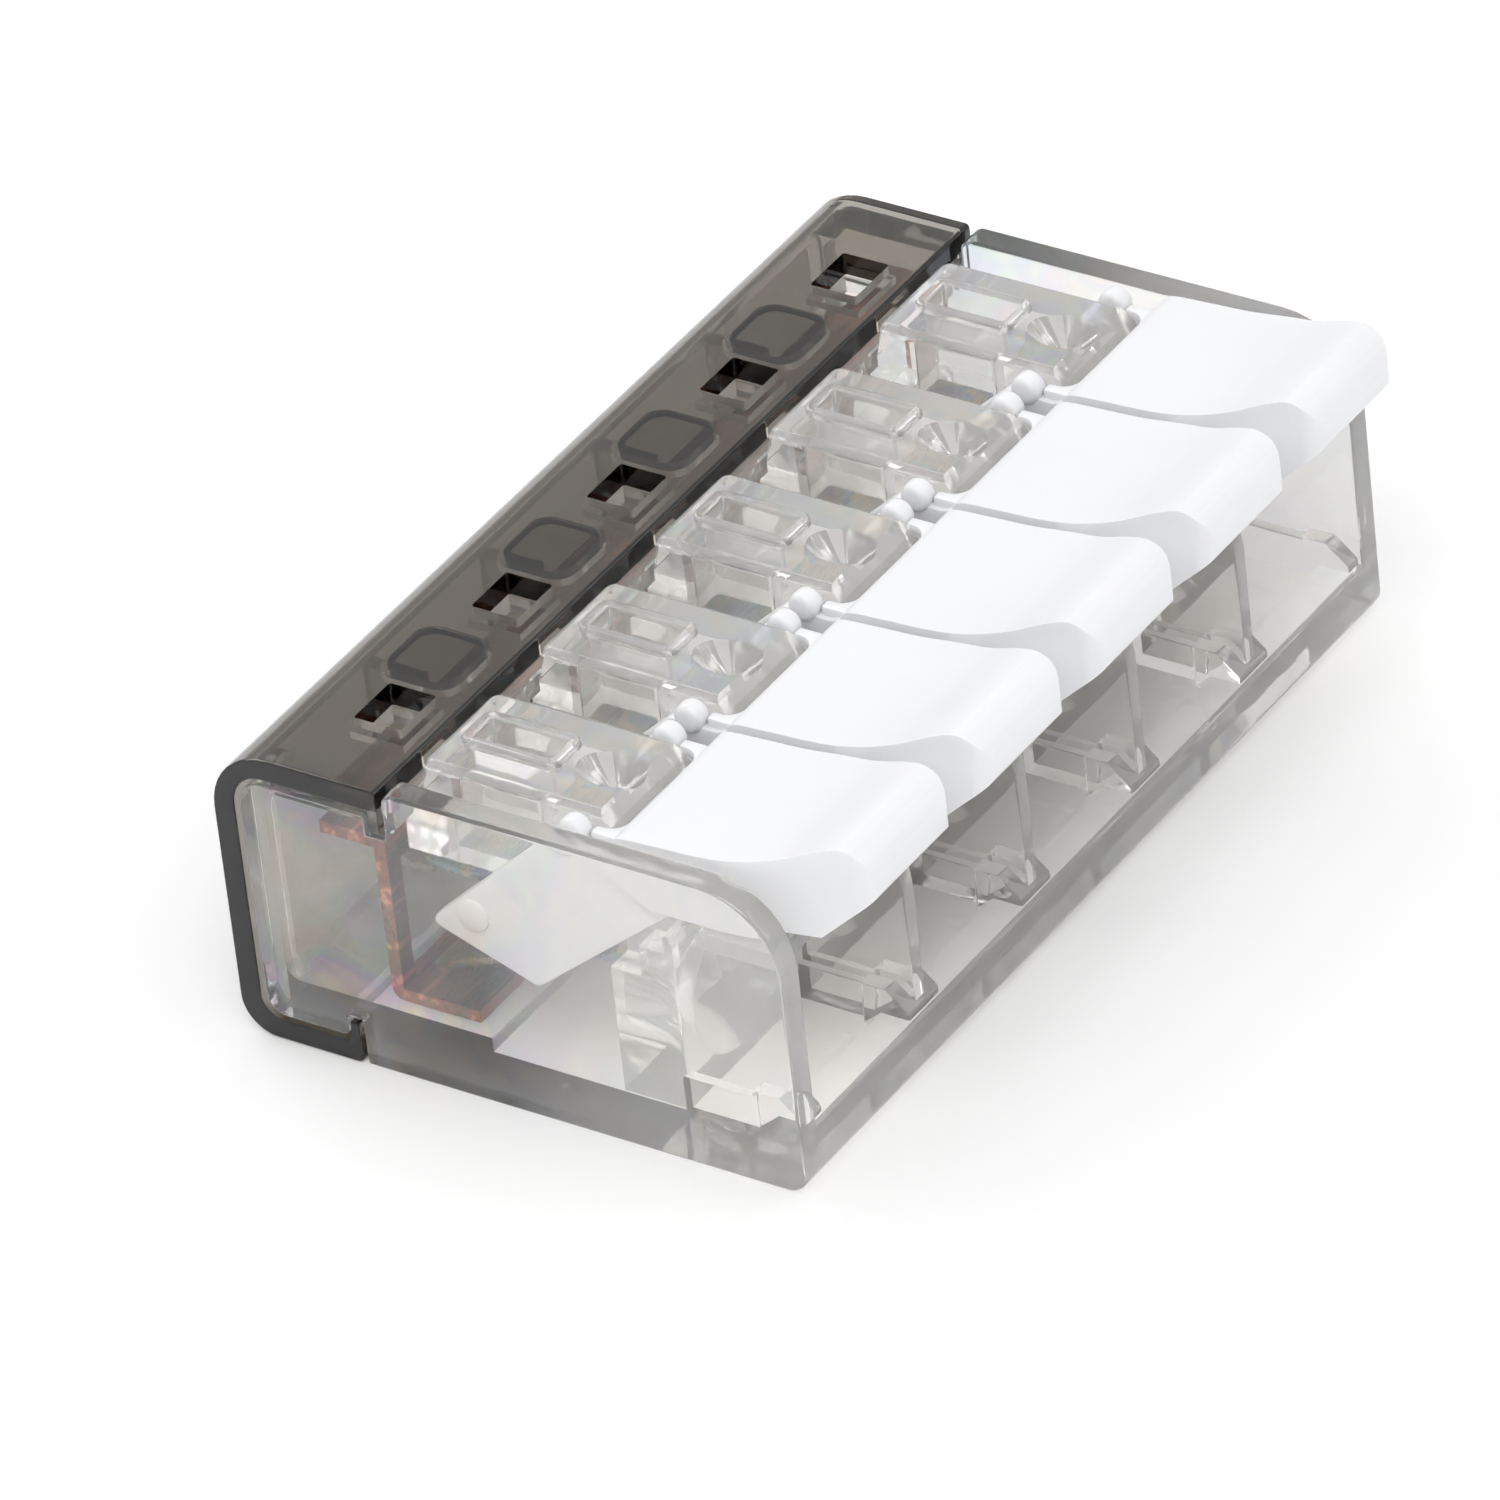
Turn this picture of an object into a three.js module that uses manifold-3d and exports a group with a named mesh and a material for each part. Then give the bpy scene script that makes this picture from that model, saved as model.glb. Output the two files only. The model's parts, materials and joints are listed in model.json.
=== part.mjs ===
// Five-pole lever wire connector: a clear front housing and a smoke rear cap that snap together
// round one copper busbar, with a clamping spring and a white hand lever for each pole.
//
// Millimetres. X runs across the poles, -Y is the side that the wires enter, +Z is up, and the
// origin is the centre of the flat bottom. Side outlines are lists of [y, z, corner radius].
import * as THREE from "three";
import { mergeVertices } from "three/addons/utils/BufferGeometryUtils.js";
import Module from "manifold-3d";

const wasm = await Module();
wasm.setup();

// ---------------------------------------------------------------- driving dimensions
const POLES = 5;
const PITCH = 5.7;
const BODY = { width: 30, depth: 17.9, height: 9.3 };
const END_WALL = 0.85; // thickness of the housing's two end walls
const DIVIDER = 0.5; // thickness of the wall between two poles
const ROOF = 0.7; // thickness of the cap's top and rear walls
const CAP_SOLE = 0.65; // thickness of the cap's bottom wall
const LIP = { thickness: 0.3, top: 1.3, hookBottom: 7.95, hookWidth: 0.7 }; // the cap's turned-in edges
const FIT_GAP = 0.12; // play between the cap and the housing
const FLOOR = 1.4; // thickness of the housing's floor
const ENTRY_SILL = 1.9; // top of the sill below the wire entries
const ISLAND_HALF = 1.85; // half width of the raised island of each pole
const ISLAND_SWING = 5.2; // radius about the pivot that the island's front stays inside
const PIVOT = { y: 1.3, z: 5.6, pin: 0.5, socket: 0.62 };
const ARM = { inner: 1.98, outer: 2.48 }; // faces of a lever's side arm, from the pole's centre
const PIN_REACH = 2.8; // outer end of a lever's pivot pin, from the pole's centre
const PAD_HALF = 2.68; // half width of a lever's thumb pad
const PAD_TIP_HALF = 2.08; // half width of the pad at its tip
const PAD_UNDERSIDE = 7.65;
const BUSBAR = { thickness: 0.4, lower: 2.0, upper: 7.3, web: 3.9 };
const SPRING = { thickness: 0.25, half: 1.55, bendY: -2.0, bendZ: 5.35, bendRadius: 0.75 };
const ARC_STEPS = 4; // straight steps in each rounded corner

// ---------------------------------------------------------------- places worked out from them
const FRONT = -BODY.depth / 2;
const REAR = BODY.depth / 2;
const END = BODY.width / 2;
const INNER_END = END - END_WALL;
const CAP_FRONT = 3.55; // front edge of the cap's top
const CAP_SOLE_FRONT = 5.1; // front edge of the cap's bottom wall
const SHOULDER = 3.3; // rear face of the islands
const CHAMBER_ROOF = BODY.height - ROOF - FIT_GAP;
const CHAMBER_REAR = REAR - ROOF - FIT_GAP;
const CHAMBER_SOLE = CAP_SOLE + FIT_GAP;
// The housing's groove round the lip along the front edge of the cap's bottom.
const LIP_GROOVE = [
  [CAP_SOLE_FRONT - FIT_GAP, 0],
  [CAP_SOLE_FRONT - FIT_GAP, LIP.top + FIT_GAP],
  [CAP_SOLE_FRONT + LIP.thickness + FIT_GAP, LIP.top + FIT_GAP],
  [CAP_SOLE_FRONT + LIP.thickness + FIT_GAP, CHAMBER_SOLE],
];
const poleCentres = Array.from({ length: POLES }, (_, i) => (i - (POLES - 1) / 2) * PITCH);
const boundaries = poleCentres.slice(1).map((x) => x - PITCH / 2);

// ---------------------------------------------------------------- colours
const materials = {
  clear: { color: 0xd8d6d0, roughness: 0.08, metalness: 0 },
  smoke: { color: 0x4b4742, roughness: 0.08, metalness: 0 },
  white: { color: 0xf1f2f3, roughness: 0.25, metalness: 0 },
  copper: { color: 0xc4714a, roughness: 0.3, metalness: 1 },
  steel: { color: 0xa9abad, roughness: 0.3, metalness: 1 },
};

// ---------------------------------------------------------------- solids
function solid(geometry) {
  geometry.deleteAttribute("normal");
  geometry.deleteAttribute("uv");
  const merged = mergeVertices(geometry, 1e-4);
  const mesh = new wasm.Mesh({
    numProp: 3,
    vertProperties: merged.getAttribute("position").array,
    triVerts: new Uint32Array(merged.index.array),
  });
  return new wasm.Manifold(mesh);
}

function box([x0, x1], [y0, y1], [z0, z1]) {
  const geometry = new THREE.BoxGeometry(x1 - x0, y1 - y0, z1 - z0);
  geometry.translate((x0 + x1) / 2, (y0 + y1) / 2, (z0 + z1) / 2);
  return solid(geometry);
}

// The points of a closed outline whose corners [a, b, radius] are rounded with arcs.
function roundedOutline(corners) {
  const points = [];
  corners.forEach(([a, b, radius = 0], i) => {
    const corner = new THREE.Vector2(a, b);
    if (!radius) {
      points.push(corner);
      return;
    }
    const towardsPoint = ([y, z]) => new THREE.Vector2(y, z).sub(corner).normalize();
    const before = towardsPoint(corners.at(i - 1));
    const after = towardsPoint(corners[(i + 1) % corners.length]);
    const halfAngle = Math.acos(THREE.MathUtils.clamp(before.dot(after), -1, 1)) / 2;
    const towards = before.clone().add(after).normalize();
    const centre = corner.clone().addScaledVector(towards, radius / Math.sin(halfAngle));
    const reach = radius / Math.tan(halfAngle);
    const start = corner.clone().addScaledVector(before, reach).sub(centre);
    const turn = Math.sign(start.cross(corner.clone().addScaledVector(after, reach).sub(centre)));
    for (let step = 0; step <= ARC_STEPS; step++) {
      const angle = (turn * (Math.PI - 2 * halfAngle) * step) / ARC_STEPS;
      points.push(start.clone().rotateAround(new THREE.Vector2(), angle).add(centre));
    }
  });
  return points;
}

// A side outline in y and z, made solid from x0 to x1.
function sidePlate(points, [x0, x1]) {
  const shape = new THREE.Shape(points);
  const geometry = new THREE.ExtrudeGeometry(shape, { depth: x1 - x0, bevelEnabled: false });
  const alongX = new THREE.Matrix4().makeBasis(
    new THREE.Vector3(0, 1, 0),
    new THREE.Vector3(0, 0, 1),
    new THREE.Vector3(1, 0, 0),
  );
  geometry.applyMatrix4(alongX);
  geometry.translate(x0, 0, 0);
  return solid(geometry);
}

// A plan outline in x and y, made solid from z0 to z1.
function planPlate(points, [z0, z1]) {
  const shape = new THREE.Shape(points);
  const geometry = new THREE.ExtrudeGeometry(shape, { depth: z1 - z0, bevelEnabled: false });
  geometry.translate(0, 0, z0);
  return solid(geometry);
}

function roundedRectangle(x, y, halfX, halfY, radius) {
  return roundedOutline([
    [x - halfX, y - halfY, radius],
    [x + halfX, y - halfY, radius],
    [x + halfX, y + halfY, radius],
    [x - halfX, y + halfY, radius],
  ]);
}

// A round bar along X through a point of the side view.
function barAlongX(radius, y, z, [x0, x1], sides = 20) {
  const geometry = new THREE.CylinderGeometry(radius, radius, x1 - x0, sides);
  geometry.rotateZ(Math.PI / 2);
  geometry.translate((x0 + x1) / 2, y, z);
  return solid(geometry);
}

// A round or tapered bar along Y, from radius r0 at y0 to r1 at y1.
function taperAlongY(r0, r1, x, z, [y0, y1], sides = 24) {
  const geometry = new THREE.CylinderGeometry(r1, r0, y1 - y0, sides);
  geometry.translate(x, (y0 + y1) / 2, z);
  return solid(geometry);
}

const join = (pieces) => pieces.reduce((whole, piece) => whole.add(piece));
const cut = (whole, tools) => tools.reduce((rest, tool) => rest.subtract(tool), whole);

function meshOf(name, manifold, finish) {
  const { vertProperties, triVerts } = manifold.getMesh();
  const geometry = new THREE.BufferGeometry();
  geometry.setAttribute("position", new THREE.BufferAttribute(vertProperties, 3));
  geometry.setIndex(new THREE.BufferAttribute(triVerts, 1));
  geometry.computeVertexNormals();
  const mesh = new THREE.Mesh(geometry, new THREE.MeshStandardMaterial(finish));
  mesh.name = name;
  return mesh;
}

// Points of an arc about the lever's pivot, at a radius, between two heights on its front side.
function frontArc(radius, z0, z1, steps) {
  return Array.from({ length: steps + 1 }, (_, i) => {
    const z = z0 + ((z1 - z0) * i) / steps;
    return new THREE.Vector2(PIVOT.y - Math.sqrt(radius ** 2 - (z - PIVOT.z) ** 2), z);
  });
}

// ---------------------------------------------------------------- clear housing
const WINDOW = { y: 1.22, halfX: 0.52, halfY: 1.3, rim: 0.26, rimHeight: 0.2 };
const DIMPLE = { y: -1.75, halfX: 0.75, halfY: 1.15, depth: 1.0 };
const PORT = { y: 5.25, halfX: 0.875, halfY: 0.75 };
const LUG = { y: 5.85, halfX: 1.15, halfY: 1.1, radius: 0.6 };
const CEILING = { bottom: 6.85, top: 7.4, front: -8.5, arms: -6.0 };
const FUNNEL = { front: -5.2, rear: -3.1, z: 3.9, mouth: 2.1, throat: 1.6, taperEnd: -4.2 };
const TAB = { half: 0.75, front: -8.8, rear: -7.3, top: 2.7 };

function endWall(x0, x1) {
  const outline = roundedOutline([
    [FRONT, 0, 0.6],
    ...LIP_GROOVE,
    [CHAMBER_REAR, CHAMBER_SOLE, 0.7],
    [CHAMBER_REAR, CHAMBER_ROOF, 0.9],
    [CAP_FRONT + LIP.thickness + FIT_GAP, CHAMBER_ROOF],
    [CAP_FRONT + LIP.thickness + FIT_GAP, LIP.hookBottom - FIT_GAP],
    [SHOULDER + 0.1, LIP.hookBottom - FIT_GAP],
    [SHOULDER + 0.1, BODY.height, 0.35],
    [FRONT, BODY.height, 2.4],
  ]);
  return sidePlate(outline, [x0, x1]);
}

function floorPlate() {
  const outline = roundedOutline([
    [FRONT, 0, 0.6],
    ...LIP_GROOVE,
    [CHAMBER_REAR - 0.35, CHAMBER_SOLE],
    [CHAMBER_REAR - 0.35, 1.85],
    [1.0, 1.85],
    [1.0, FLOOR],
    [-7.3, FLOOR],
    [-7.9, ENTRY_SILL],
    [FRONT, ENTRY_SILL, 0.15],
  ]);
  return sidePlate(outline, [-INNER_END - 0.1, INNER_END + 0.1]);
}

function dividerWall(x) {
  const outline = roundedOutline([
    [-8.7, 1.0],
    [1.2, 1.0],
    [1.2, 2.6],
    [3.7, 2.6],
    [3.7, 7.8],
    [SHOULDER, 8.15],
    [-2.6, 8.15, 0.2],
    [-2.6, 7.4],
    [-8.7, 7.4, 1.6],
  ]);
  return sidePlate(outline, [x - DIVIDER / 2, x + DIVIDER / 2]);
}

// The low ledge and the front tab at the foot of a wall, between two values of x.
function wallFoot([x0, x1]) {
  const tab = sidePlate(
    roundedOutline([
      [TAB.front, 1.0],
      [TAB.rear, 1.0],
      [TAB.rear, TAB.top],
      [TAB.front + 0.7, TAB.top],
      [TAB.front, 2.1],
    ]),
    [x0, x1],
  );
  const inset = (x1 - x0) / 6;
  const ledge = box([x0 + inset, x1 - inset], [TAB.rear - 0.1, FUNNEL.front + 0.1], [1.0, 2.5]);
  return tab.add(ledge);
}

function island(x) {
  const outline = [
    ...roundedOutline([
      [-3.3, 6.7],
      [SHOULDER + 0.3, 6.7],
      [SHOULDER + 0.3, CHAMBER_ROOF - 0.18],
      [SHOULDER, CHAMBER_ROOF - 0.18],
      [SHOULDER, BODY.height, 0.3],
    ]),
    ...frontArc(ISLAND_SWING, BODY.height, 7.3, 6),
  ];
  const block = sidePlate(outline, [x - ISLAND_HALF, x + ISLAND_HALF]);
  const rim = planPlate(
    roundedRectangle(x, WINDOW.y, WINDOW.halfX + WINDOW.rim, WINDOW.halfY + WINDOW.rim, 0.4),
    [BODY.height - 0.3, BODY.height + WINDOW.rimHeight],
  );
  return block.add(rim);
}

function windowWell(x) {
  return planPlate(roundedRectangle(x, WINDOW.y, WINDOW.halfX, WINDOW.halfY, 0.12), [6.5, 10]);
}

function dimple(x) {
  const cone = new THREE.CylinderGeometry(1.3, 0.15, 1.3 * DIMPLE.depth, 20);
  cone.rotateX(Math.PI / 2);
  cone.scale(DIMPLE.halfX, DIMPLE.halfY, 1);
  cone.translate(x, DIMPLE.y, BODY.height - DIMPLE.depth + 0.65 * DIMPLE.depth);
  return solid(cone);
}

// The ceiling over one wire entry, with a tongue under the island and a stepped funnel block.
function wireGuide(x) {
  const reach = PITCH / 2;
  const steps = roundedOutline([
    [FUNNEL.front, 1.0],
    [FUNNEL.rear, 1.0],
    [FUNNEL.rear, 5.4],
    [-4.1, 5.4],
    [-4.1, 6.4],
    [-4.9, 6.4],
    [-4.9, CEILING.bottom + 0.1],
    [FUNNEL.front, CEILING.bottom + 0.1],
  ]);
  const halfInside = reach - DIVIDER / 2 + 0.1;
  const sides = [x - halfInside, x + halfInside];
  return join([
    box(sides, [CEILING.front, CEILING.arms], [CEILING.bottom, CEILING.top]),
    box([x - ISLAND_HALF, x + ISLAND_HALF], [CEILING.arms - 0.1, -2.95], [CEILING.bottom, CEILING.top]),
    box([x - ISLAND_HALF, x + ISLAND_HALF], [FUNNEL.front, FUNNEL.rear], [5, CEILING.bottom + 0.1]),
    sidePlate(steps, sides),
  ]);
}

function conductorHole(x) {
  const { mouth, throat, z, front, rear, taperEnd } = FUNNEL;
  return join([
    taperAlongY(mouth, throat, x, z, [front - 0.01, taperEnd]),
    taperAlongY(throat, throat, x, z, [taperEnd - 0.01, rear + 0.2]),
  ]);
}

// The clear roof of the rear chamber, with a port over each pole and a snap window at each divider.
function chamberRoof() {
  const roof = box(
    [-INNER_END - 0.1, INNER_END + 0.1],
    [SHOULDER, CHAMBER_REAR - 0.5],
    [CHAMBER_ROOF - 0.55, CHAMBER_ROOF],
  );
  const ports = poleCentres.map((x) =>
    box([x - PORT.halfX - 0.1, x + PORT.halfX + 0.1], [PORT.y - 0.85, PORT.y + 0.85], [7, 9]),
  );
  const windows = boundaries.map((x) =>
    planPlate(roundedRectangle(x, LUG.y, LUG.halfX + 0.15, LUG.halfY + 0.15, LUG.radius), [7, 9]),
  );
  return cut(roof, [...ports, ...windows]);
}

function housing() {
  const walls = join([
    endWall(-END, -INNER_END),
    endWall(INNER_END, END),
    floorPlate(),
    chamberRoof(),
    ...boundaries.map(dividerWall),
    ...boundaries.map((x) => wallFoot([x - TAB.half, x + TAB.half])),
    wallFoot([-INNER_END - 0.1, -INNER_END + TAB.half - DIVIDER / 2]),
    wallFoot([INNER_END - TAB.half + DIVIDER / 2, INNER_END + 0.1]),
    ...poleCentres.map(island),
    ...poleCentres.map(wireGuide),
    barAlongX(1.0, PIVOT.y, PIVOT.z, [-INNER_END - 0.1, -INNER_END + 0.15]),
    barAlongX(1.0, PIVOT.y, PIVOT.z, [INNER_END - 0.15, INNER_END + 0.1]),
  ]);
  const socketReach = INNER_END + 0.25;
  return cut(walls, [
    ...poleCentres.map(windowWell),
    ...poleCentres.map(dimple),
    ...poleCentres.map(conductorHole),
    ...boundaries.map((x) => barAlongX(PIVOT.socket, PIVOT.y, PIVOT.z, [x - 0.4, x + 0.4])),
    barAlongX(PIVOT.socket, PIVOT.y, PIVOT.z, [-socketReach, -INNER_END + 0.3]),
    barAlongX(PIVOT.socket, PIVOT.y, PIVOT.z, [INNER_END - 0.3, socketReach]),
  ]);
}

// ---------------------------------------------------------------- smoke rear cap
function rearCap() {
  const shell = sidePlate(
    roundedOutline([
      [CAP_SOLE_FRONT, 0, 0.15],
      [REAR, 0, 1.1],
      [REAR, BODY.height, 2.0],
      [CAP_FRONT, BODY.height, 0.15],
      [CAP_FRONT, BODY.height - ROOF],
      [REAR - ROOF, BODY.height - ROOF, 1.0],
      [REAR - ROOF, CAP_SOLE, 0.75],
      [CAP_SOLE_FRONT + LIP.thickness, CAP_SOLE],
      [CAP_SOLE_FRONT + LIP.thickness, LIP.top],
      [CAP_SOLE_FRONT, LIP.top],
    ]),
    [-END, END],
  );
  const hooks = [-END, END - LIP.hookWidth].map((x) =>
    box(
      [x, x + LIP.hookWidth],
      [CAP_FRONT, CAP_FRONT + LIP.thickness],
      [LIP.hookBottom, BODY.height - ROOF + 0.1],
    ),
  );
  const lugs = boundaries.map((x) =>
    planPlate(
      roundedRectangle(x, LUG.y, LUG.halfX, LUG.halfY, LUG.radius),
      [CHAMBER_ROOF - 0.43, CHAMBER_ROOF + 0.22],
    ),
  );
  const ribs = boundaries.map((x) =>
    box([x - DIVIDER / 2, x + DIVIDER / 2], [6.4, REAR - ROOF + 0.1], [2.1, 7.4]),
  );
  const ports = poleCentres.map((x) =>
    box([x - PORT.halfX, x + PORT.halfX], [PORT.y - PORT.halfY, PORT.y + PORT.halfY], [7, 10]),
  );
  return cut(join([shell, ...hooks, ...lugs, ...ribs]), ports);
}

// ---------------------------------------------------------------- copper busbar
function busbar() {
  const { thickness, lower, upper, web } = BUSBAR;
  const strip = sidePlate(
    roundedOutline([
      [1.5, lower],
      [web + thickness, lower, 0.35],
      [web + thickness, upper - thickness],
      [6.0, upper - thickness],
      [6.0, upper],
      [web, upper, 0.35],
      [web, lower + thickness],
      [1.5, lower + thickness],
    ]),
    [-INNER_END + 0.25, INNER_END - 0.25],
  );
  const passages = poleCentres.map((x) =>
    box([x - 1.9, x + 1.9], [web - 0.1, web + thickness + 0.1], [lower + thickness + 0.05, 6.3]),
  );
  return cut(strip, passages);
}

// ---------------------------------------------------------------- clamping springs
// The fixed leg lies under the island and turns down round the bend.
function springRoot(x) {
  const { thickness, half, bendY, bendZ, bendRadius } = SPRING;
  const outer = bendRadius + thickness / 2;
  const inner = bendRadius - thickness / 2;
  const arc = (radius, from, to) =>
    Array.from({ length: 11 }, (_, i) => {
      const angle = from + ((to - from) * i) / 10;
      return new THREE.Vector2(bendY + radius * Math.cos(angle), bendZ + radius * Math.sin(angle));
    });
  const points = [
    new THREE.Vector2(3.55, bendZ + inner),
    new THREE.Vector2(3.55, bendZ + outer + 0.3),
    new THREE.Vector2(3.3, bendZ + outer + 0.3),
    new THREE.Vector2(3.3, bendZ + outer),
    ...arc(outer, Math.PI / 2, (3 * Math.PI) / 2),
    ...arc(inner, (3 * Math.PI) / 2, Math.PI / 2),
  ];
  return sidePlate(points, [x - half, x + half]);
}

// The clamping leg runs from the bend down to the busbar's lower flange.
function springTongue(x) {
  const { thickness, half, bendY, bendZ, bendRadius } = SPRING;
  const start = [bendY + 0.06, bendZ - bendRadius];
  const points = roundedOutline([
    [start[0], start[1] - thickness / 2],
    [start[0] + 0.5, start[1] - thickness / 2],
    [3.45, 2.5],
    [3.6, 2.72],
    [start[0] + 0.55, start[1] + thickness / 2],
    [start[0], start[1] + thickness / 2],
  ]);
  return sidePlate(points, [x - half, x + half]);
}

// ---------------------------------------------------------------- levers
// The pad's side view: a rounded rear edge, a long shallow dish and a thick rounded lip. Its
// underside rises at the rear, so that it clears the island as the lever opens.
function padBlock(x) {
  const top = new THREE.CatmullRomCurve3(
    [
      [-3.15, 9.0],
      [-3.45, 9.32],
      [-4.6, 9.46],
      [-6.4, 9.56],
      [-8.2, 9.92],
      [-9.6, 10.5],
      [-10.35, 10.58],
      [-10.85, 10.2],
      [-11.08, 9.6],
      [-11.08, 9.2],
    ].map(([y, z]) => new THREE.Vector3(y, z, 0)),
    false,
    "centripetal",
  );
  const underside = roundedOutline([
    [-10.9, 9.05],
    [-9.4, PAD_UNDERSIDE],
    [-4.6, PAD_UNDERSIDE],
    [-3.15, 8.5],
  ]);
  const topLine = top.getPoints(28).map((point) => new THREE.Vector2(point.x, point.y));
  const outline = [...topLine, ...underside];
  const plan = roundedOutline([
    [x - PAD_HALF, -3.0, 0.3],
    [x - PAD_HALF, -7.2, 6],
    [x - PAD_TIP_HALF, -10.3, 3],
    [x - PAD_TIP_HALF, -11.6],
    [x + PAD_TIP_HALF, -11.6],
    [x + PAD_TIP_HALF, -10.3, 3],
    [x + PAD_HALF, -7.2, 6],
    [x + PAD_HALF, -3.0, 0.3],
  ]);
  return sidePlate(outline, [x - PITCH, x + PITCH]).intersect(planPlate(plan, [7, 11]));
}

// One side arm: a slanting cam plate with a detent bump where it meets the pad.
function armPlate(x0, x1) {
  const outline = roundedOutline([
    [2.8, 5.0, 0.25],
    [-0.55, 3.8, 0.25],
    [-5.3, PAD_UNDERSIDE + 0.02, 0.5],
    [-6.2, PAD_UNDERSIDE + 0.02],
    [-6.2, 9.0],
    [-3.3, 8.95],
    [-2.75, 8.6],
    [-1.3, 8.75, 0.2],
  ]);
  return sidePlate(outline, [x0, x1]);
}

function lever(x) {
  const sides = [-1, 1].flatMap((side) => {
    const span = (near, far) => [x + side * near, x + side * far].sort((a, b) => a - b);
    return [
      armPlate(...span(ARM.inner, ARM.outer)),
      barAlongX(0.44, -1.92, 8.93, span(ARM.inner, PAD_HALF - 0.06), 20),
      barAlongX(PIVOT.pin, PIVOT.y, PIVOT.z, span(ARM.inner + 0.1, PIN_REACH), 16),
    ];
  });
  return join([padBlock(x), ...sides]);
}

// ---------------------------------------------------------------- the connector
const connector = new THREE.Group();
connector.add(meshOf("housing", housing(), materials.clear));
connector.add(meshOf("rear_cap", rearCap(), materials.smoke));
connector.add(meshOf("busbar", busbar(), materials.copper));
poleCentres.forEach((x, i) => {
  const pole = i + 1;
  connector.add(meshOf(`spring_${pole}`, springRoot(x), materials.steel));
  connector.add(meshOf(`spring_tongue_${pole}`, springTongue(x), materials.steel));
  connector.add(meshOf(`lever_${pole}`, lever(x), materials.white));
});

export default connector;
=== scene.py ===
"""Looks of the five-pole lever wire connector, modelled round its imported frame.

Millimetres are used for shapes in the functions below, and MM turns them into metres. X runs
across the poles, -Y is the side that the wires enter and +Z is up.
"""

import json
import math

import bpy
from mathutils import Matrix, Vector


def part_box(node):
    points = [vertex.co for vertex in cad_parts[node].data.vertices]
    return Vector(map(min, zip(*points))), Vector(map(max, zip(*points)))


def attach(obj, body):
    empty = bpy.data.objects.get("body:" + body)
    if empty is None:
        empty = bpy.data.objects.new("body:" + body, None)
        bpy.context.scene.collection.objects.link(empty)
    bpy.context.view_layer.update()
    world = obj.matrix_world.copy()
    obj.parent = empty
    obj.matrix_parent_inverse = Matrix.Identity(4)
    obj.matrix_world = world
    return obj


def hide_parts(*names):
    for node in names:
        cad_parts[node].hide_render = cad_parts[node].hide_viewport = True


bl_info = {
    "name": "Lever wire connector",
    "version": (1, 0, 0),
    "blender": (4, 5, 0),
    "location": "3D View > Sidebar > Connector",
    "description": "Models a clear lever wire connector round its frame",
    "category": "Object",
}

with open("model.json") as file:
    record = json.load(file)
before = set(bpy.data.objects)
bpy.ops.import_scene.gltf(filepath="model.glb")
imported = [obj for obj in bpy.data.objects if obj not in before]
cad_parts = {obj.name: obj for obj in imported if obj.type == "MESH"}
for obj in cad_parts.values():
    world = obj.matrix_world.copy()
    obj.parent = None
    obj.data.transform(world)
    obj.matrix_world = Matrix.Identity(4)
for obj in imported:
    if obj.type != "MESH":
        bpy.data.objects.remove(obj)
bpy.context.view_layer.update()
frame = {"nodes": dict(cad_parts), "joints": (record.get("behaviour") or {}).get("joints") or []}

MM = 0.001
POLES = (1, 2, 3, 4, 5)


def middle(node, axis):
    low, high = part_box(node)
    return (low[axis] + high[axis]) / 2 / MM


def near(node, axis):
    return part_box(node)[0][axis] / MM


def far(node, axis):
    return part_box(node)[1][axis] / MM


# Places come from the frame. The plain numbers are the pieces' own sizes, in millimetres.
HINGES = {joint["name"]: joint for joint in frame["joints"]}
POLE_X = [middle(f"lever_{pole}", 0) for pole in POLES]
PITCH = POLE_X[1] - POLE_X[0]
BOUNDARIES = [x + PITCH / 2 for x in POLE_X[:-1]]
PIVOT = [v / MM for v in HINGES["lever_1_hinge"]["pos_m"]][1:]
END = far("housing", 0)
FRONT = near("housing", 1)
REAR = far("rear_cap", 1)
TOP = far("rear_cap", 2)
TIP = near("lever_3", 1)
LIP = far("lever_3", 2)
PIN_REACH = 2.58
PIN_RADIUS = 0.5
PIN_LENGTH = 0.48
PAD_HALF = 2.68
PAD_TIP_HALF = 2.08
ARM_MIDDLE = 2.23
ARM_HALF = 0.25
ISLAND_SWING = 5.2
LUG_Y = 5.85
FOOT_HALF = 0.75
ENTRY_HEIGHT = 3.9
END_WALL = 0.85
INNER_END = END - END_WALL
CAP_FRONT = near("rear_cap", 1)
SHOULDER = 3.3
CAP_WALL = 0.7
CAP_SOLE = 0.65
SOLE_FRONT = CAP_FRONT + 1.55
GAP = 0.12
CAP_LIP = 0.3
CAP_LIP_TOP = 1.3
HOOK_BOTTOM = 7.95
HOOK_WIDTH = 0.7
CHAMBER_REAR = REAR - CAP_WALL - GAP
CHAMBER_ROOF = TOP - CAP_WALL - GAP
CHAMBER_SOLE = CAP_SOLE + GAP
LIP_GROOVE = [
    (SOLE_FRONT - GAP, 0), (SOLE_FRONT - GAP, CAP_LIP_TOP + GAP),
    (SOLE_FRONT + CAP_LIP + GAP, CAP_LIP_TOP + GAP), (SOLE_FRONT + CAP_LIP + GAP, CHAMBER_SOLE),
]
HOOK_REAR = CAP_FRONT + CAP_LIP + GAP


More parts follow.
